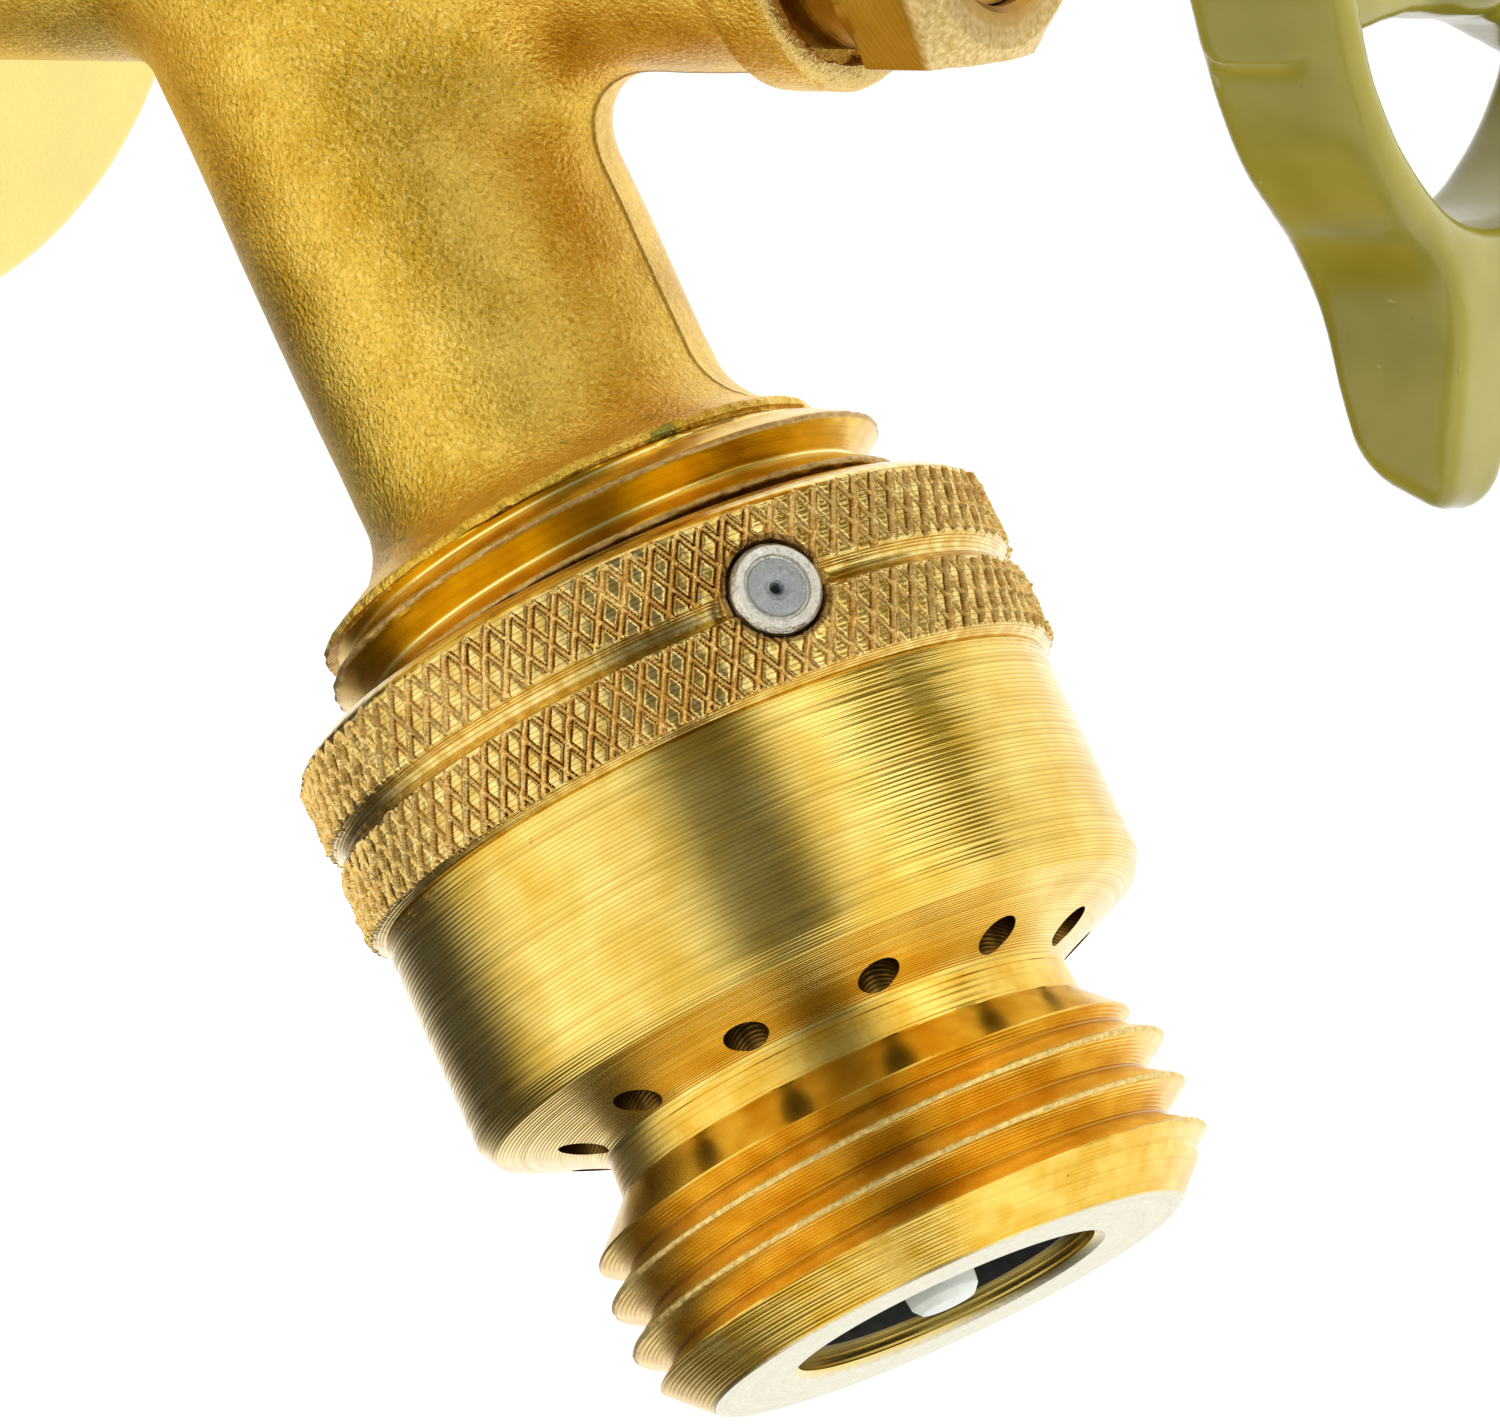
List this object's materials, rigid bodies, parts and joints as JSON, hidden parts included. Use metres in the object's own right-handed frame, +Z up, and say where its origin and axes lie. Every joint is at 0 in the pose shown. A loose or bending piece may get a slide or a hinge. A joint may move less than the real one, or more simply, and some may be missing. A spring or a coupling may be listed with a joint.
{
  "type": "hose bib",
  "caption": "Flanged wall valve with an olive handwheel, an angled spout and a screw-on knurled vacuum breaker with a male hose thread.",
  "frame": {"origin": "centre of the wall flange's back face, on the valve axis", "axes": "+Y along the valve axis into the wall, -Y towards the handwheel, +Z up, the spout pointing down and forward in the YZ plane"},
  "size_m": [0.057, 0.1111, 0.095],
  "materials": {
    "cast_brass": "shot-blasted sand casting, satin golden, fine grain",
    "turned_brass": "bright turned bar with fine tool lines",
    "olive_paint": "glossy olive enamel",
    "zinc_steel": "zinc plated, satin",
    "spring_steel": "drawn stainless wire",
    "black_rubber": "matt moulded rubber",
    "fibre": "red vulcanised fibre",
    "graphite_packing": "braided graphite, satin",
    "white_acetal": "white moulded acetal, satin",
    "black_acetal": "black moulded acetal, satin"
  },
  "bodies": {
    "valve": {"valve_body": "cast_brass", "valve_seat": "turned_brass", "bonnet": "turned_brass", "bonnet_gasket": "fibre", "packing_washer": "turned_brass", "stem_packing": "graphite_packing", "packing_gland": "turned_brass", "breaker_body": "turned_brass", "breaker_set_screw": "zinc_steel", "hose_gasket": "black_rubber", "diaphragm_retainer": "turned_brass", "diaphragm": "black_rubber", "poppet_guide": "black_acetal", "poppet_spring": "spring_steel"},
    "disc": {"disc_holder": "turned_brass", "seat_washer": "black_rubber", "seat_washer_screw": "zinc_steel"},
    "wheel_and_stem": {"stem": "turned_brass", "handwheel": "olive_paint", "handle_washer": "zinc_steel", "handle_screw": "zinc_steel"},
    "poppet": {"poppet": "white_acetal", "poppet_seal": "black_rubber"}
  },
  "joints": [
    {"name": "valve_lift", "type": "slide", "parent": "valve", "child": "disc", "axis": [0, -1, 0], "range_m": [0, 0.0055]},
    {"name": "wheel_turn", "type": "hinge", "parent": "disc", "child": "wheel_and_stem", "pos_m": [0, -0.028, 0], "axis": [0, -1, 0], "range_deg": [0, 792]},
    {"name": "poppet_lift", "type": "slide", "parent": "valve", "child": "poppet", "axis": [0, -0.5, -0.866], "range_m": [0, 0.0025], "stiffness_N_per_m": 400, "springref_m": -0.002, "deforming": ["poppet_spring"]}
  ],
  "couplings": [
    {"joint": "wheel_turn", "follows": "valve_lift", "rad_per_m": 2513.3}
  ]
}
